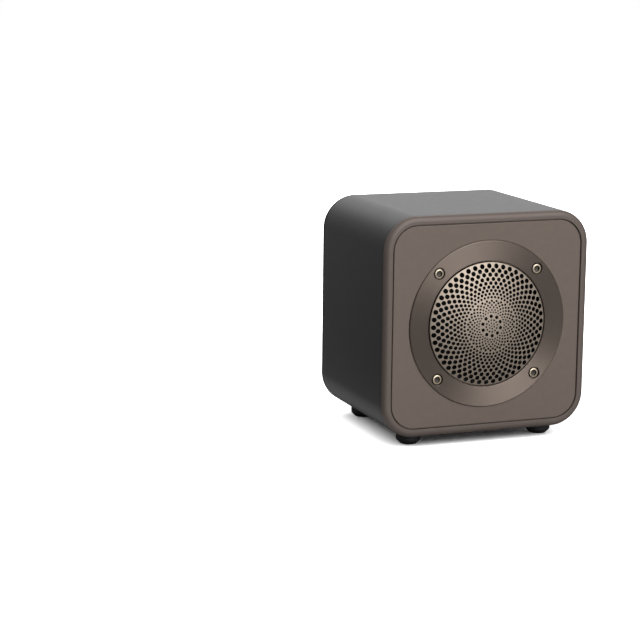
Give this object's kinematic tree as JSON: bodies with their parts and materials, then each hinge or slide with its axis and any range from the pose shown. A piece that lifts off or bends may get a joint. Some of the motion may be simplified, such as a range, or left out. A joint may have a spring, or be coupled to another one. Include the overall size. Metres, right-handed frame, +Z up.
{
  "type": "portable wireless speaker",
  "caption": "Compact rounded-square wireless speaker with a bronze front, a turned trim ring, a domed perforated grille, rubber feet and rear push buttons.",
  "frame": {"origin": "on the surface that it stands on, under the middle of its overall box", "axes": "+Z up, the front with the grille faces -Y, +X to the right as seen from the front"},
  "size_m": [0.1, 0.0828, 0.105],
  "materials": {
    "case_paint": "satin",
    "bezel_bronze": "satin",
    "plate_bronze": "satin",
    "ring_metal": "brushed",
    "grille_metal": "satin",
    "screw_steel": "polished",
    "zinc_steel": "satin",
    "black_screw": "satin",
    "rear_plastic": "fine texture",
    "button_rubber": "matte",
    "foot_rubber": "matte",
    "foam": "matte",
    "surround_rubber": "satin",
    "spider_cloth": "matte",
    "cone_paper": "matte",
    "coil_paper": "matte",
    "copper": "satin",
    "ferrite": "matte",
    "phenolic": "matte",
    "tinned_brass": "satin",
    "board_green": "satin",
    "switch_plastic": "satin",
    "plunger_plastic": "satin",
    "socket_metal": "satin",
    "socket_plastic": "satin",
    "led_clear": "gloss",
    "capacitor_sleeve": "gloss",
    "connector_white": "satin",
    "cell_wrap": "gloss",
    "cradle_plastic": "matte",
    "lead_black": "satin",
    "lead_red": "satin"
  },
  "bodies": {
    "chassis": {"case": "case_paint", "front_bezel": "bezel_bronze", "front_plate": "plate_bronze", "trim_ring": "ring_metal", "grille": "grille_metal", "ring_screws": "screw_steel", "ring_nuts": "zinc_steel", "board_screws": "zinc_steel", "driver_basket": "zinc_steel", "driver_top_plate": "zinc_steel", "driver_yoke": "zinc_steel", "tie_screws": "black_screw", "rear_panel": "rear_plastic", "foot_front_left": "foot_rubber", "foot_front_right": "foot_rubber", "foot_rear_left": "foot_rubber", "foot_rear_right": "foot_rubber", "driver_gasket": "foam", "surround": "surround_rubber", "spider": "spider_cloth", "driver_magnet": "ferrite", "terminal_strip": "phenolic", "terminal_tags": "tinned_brass", "main_board": "board_green", "switch_minus": "switch_plastic", "switch_power": "switch_plastic", "switch_plus": "switch_plastic", "usb_socket": "socket_metal", "radio_module": "socket_metal", "aux_socket": "socket_plastic", "status_led": "led_clear", "light_pipe": "led_clear", "filter_capacitors": "capacitor_sleeve", "speaker_connector": "connector_white", "battery_connector": "connector_white", "battery_cell": "cell_wrap", "battery_cradle": "cradle_plastic", "speaker_lead_negative": "lead_black", "battery_lead_negative": "lead_black", "speaker_lead_positive": "lead_red", "battery_lead_positive": "lead_red"},
    "diaphragm": {"cone": "cone_paper", "dust_cap": "cone_paper", "coil_former": "coil_paper", "coil_winding": "copper"},
    "minus_key": {"button_minus": "button_rubber", "plunger_minus": "plunger_plastic"},
    "power_key": {"button_power": "button_rubber", "plunger_power": "plunger_plastic"},
    "plus_key": {"button_plus": "button_rubber", "plunger_plus": "plunger_plastic"}
  },
  "joints": [
    {"name": "diaphragm_stroke", "type": "slide", "parent": "chassis", "child": "diaphragm", "axis": [0, 1, 0], "range_m": [-0.0015, 0.0015], "stiffness_N_per_m": 1500, "deforming": ["surround", "spider"]},
    {"name": "minus_press", "type": "slide", "parent": "chassis", "child": "minus_key", "axis": [0, -1, 0], "range_m": [0, 0.0004], "stiffness_N_per_m": 4000},
    {"name": "power_press", "type": "slide", "parent": "chassis", "child": "power_key", "axis": [0, -1, 0], "range_m": [0, 0.0004], "stiffness_N_per_m": 4000},
    {"name": "plus_press", "type": "slide", "parent": "chassis", "child": "plus_key", "axis": [0, -1, 0], "range_m": [0, 0.0004], "stiffness_N_per_m": 4000}
  ]
}
